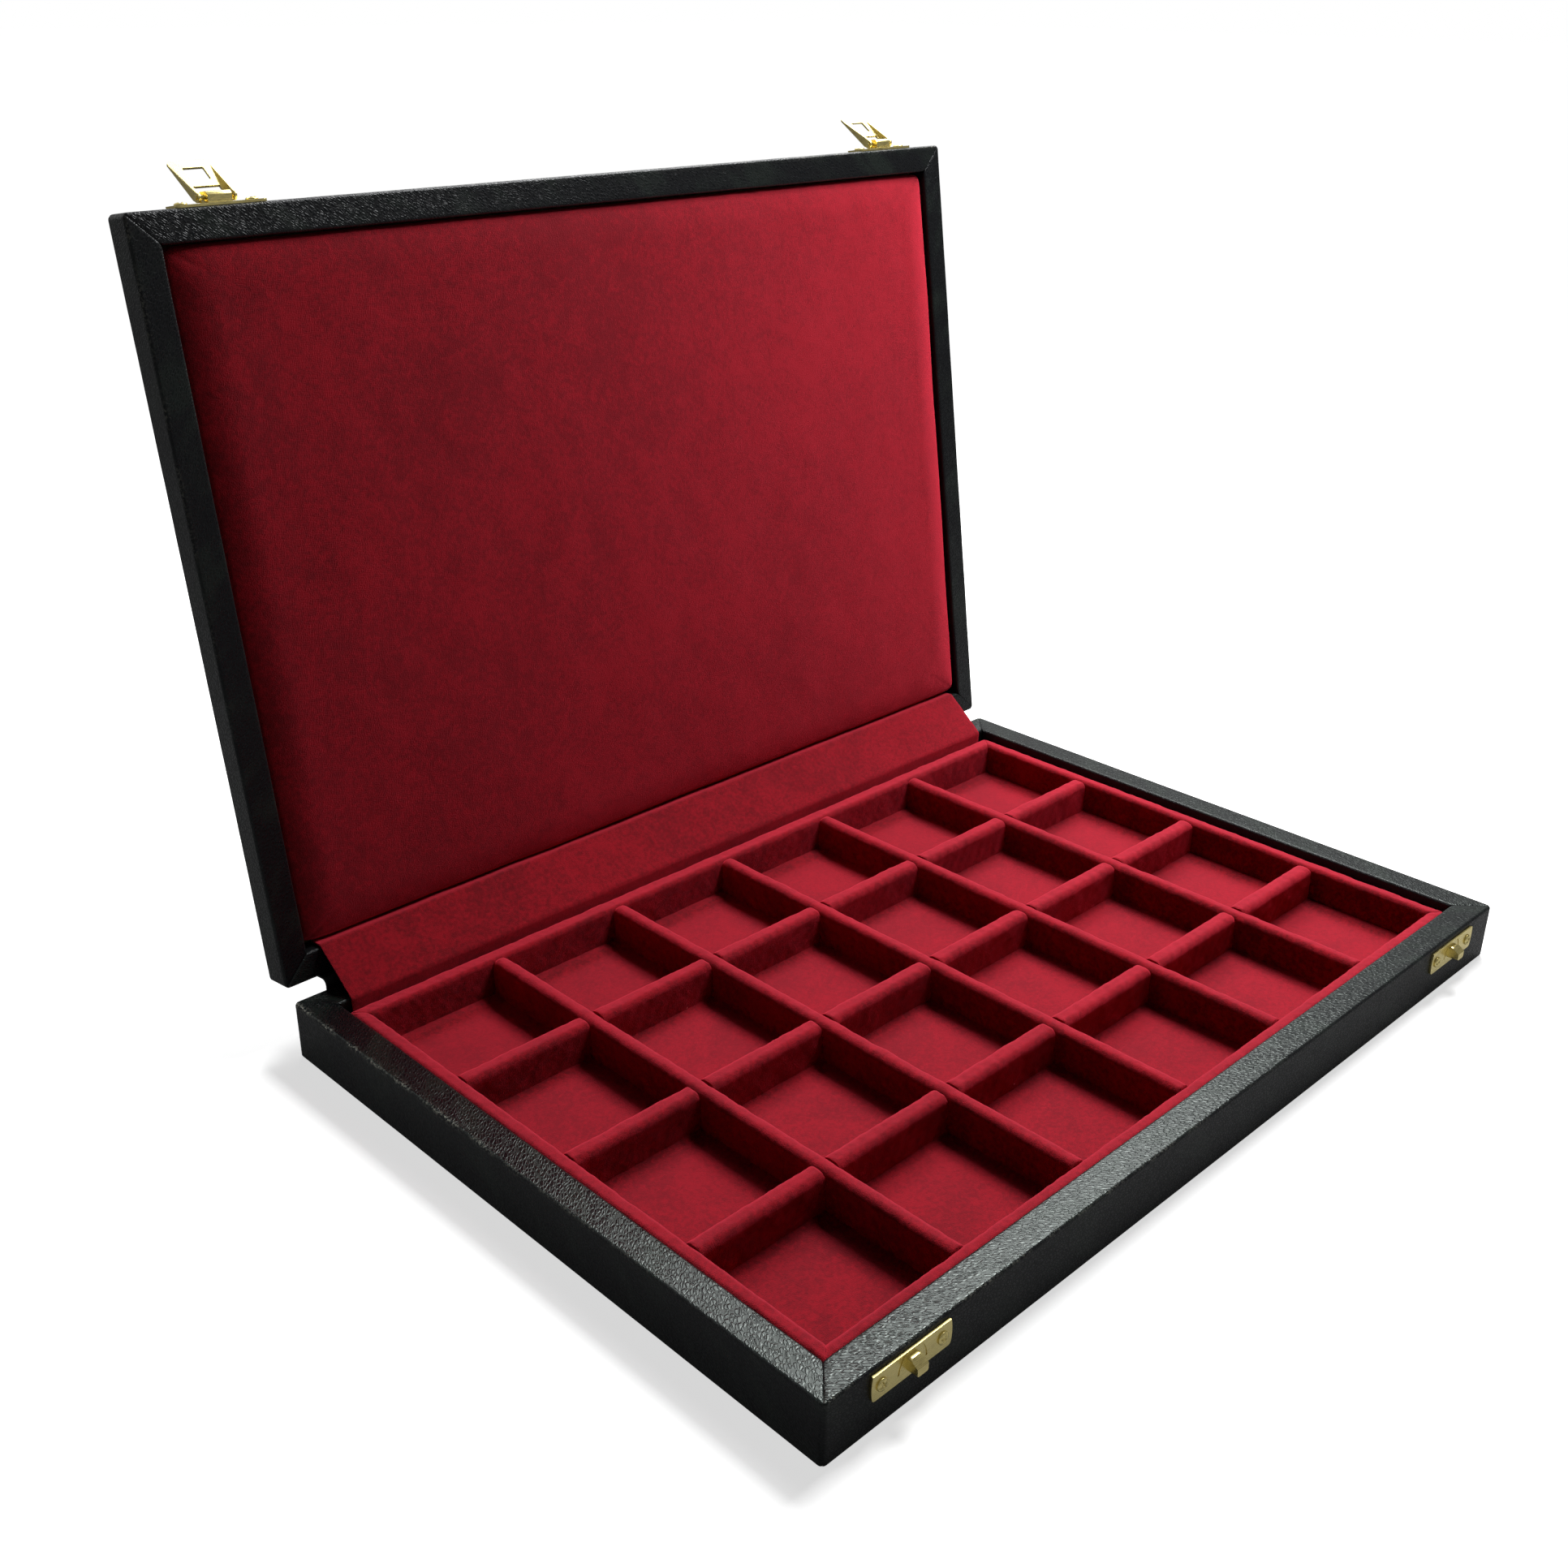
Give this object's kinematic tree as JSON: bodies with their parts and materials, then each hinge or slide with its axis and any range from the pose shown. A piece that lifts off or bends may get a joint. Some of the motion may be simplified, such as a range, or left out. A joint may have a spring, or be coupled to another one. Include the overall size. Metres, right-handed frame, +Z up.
{
  "type": "coin display case",
  "caption": "Shallow leather-covered case with a hinged padded lid, a velvet tray divided into square cells, and two snap latches on the front.",
  "frame": {"origin": "middle of the flat underside", "axes": "+X along the front to the right, +Y from the front to the hinge at the back, +Z up"},
  "size_m": [0.36, 0.3159, 0.2828],
  "materials": {
    "wood": "bare softwood, hidden",
    "black_leather": "fine pebble grain, semi-matt",
    "velvet_board": "crimson velvet over board",
    "velvet": "crimson velvet",
    "card": "grey board, hidden",
    "brass": "bright pressed brass"
  },
  "bodies": {
    "base": {"base_rail_front": "wood", "base_rail_back": "wood", "base_rail_left": "wood", "base_rail_right": "wood", "base_cover_front": "black_leather", "base_cover_back": "black_leather", "base_cover_left": "black_leather", "base_cover_right": "black_leather", "base_board": "wood", "base_underside_cover": "black_leather", "tray_floor": "velvet_board", "tray_border_front": "velvet_board", "tray_border_back": "velvet_board", "tray_border_left": "velvet_board", "tray_border_right": "velvet_board", "tray_divider_1": "velvet_board", "tray_divider_2": "velvet_board", "tray_divider_3": "velvet_board", "tray_divider_4": "velvet_board", "tray_divider_5": "velvet_board", "tray_cross_divider_1": "velvet_board", "tray_cross_divider_2": "velvet_board", "tray_cross_divider_3": "velvet_board", "hinge_lining": "velvet", "leather_spine": "black_leather", "striker_plate_left": "brass", "striker_knob_left": "brass", "striker_pins_left": "brass", "striker_plate_right": "brass", "striker_knob_right": "brass", "striker_pins_right": "brass"},
    "lid": {"lid_rail_front": "wood", "lid_rail_back": "wood", "lid_rail_left": "wood", "lid_rail_right": "wood", "lid_cover_front": "black_leather", "lid_cover_back": "black_leather", "lid_cover_left": "black_leather", "lid_cover_right": "black_leather", "lid_board": "wood", "lid_top_cover": "black_leather", "lid_pad_board": "card", "lid_pad": "velvet", "latch_plate_left": "brass", "latch_pins_left": "brass", "latch_pivot_pin_left": "brass", "latch_plate_right": "brass", "latch_pins_right": "brass", "latch_pivot_pin_right": "brass"},
    "left_latch": {"latch_lever_left": "brass"},
    "right_latch": {"latch_lever_right": "brass"}
  },
  "joints": [
    {"name": "lid_hinge", "type": "hinge", "parent": "base", "child": "lid", "pos_m": [0, 0.1278, 0.0219], "axis": [1, 0, 0], "range_deg": [0, 98.5], "deforming": ["hinge_lining", "leather_spine"]},
    {"name": "left_latch_hinge", "type": "hinge", "parent": "lid", "child": "left_latch", "pos_m": [-0.148, 0.17069, 0.27373], "axis": [1, 0, 0], "range_deg": [0, 137]},
    {"name": "right_latch_hinge", "type": "hinge", "parent": "lid", "child": "right_latch", "pos_m": [0.148, 0.17069, 0.27373], "axis": [1, 0, 0], "range_deg": [0, 137]}
  ]
}
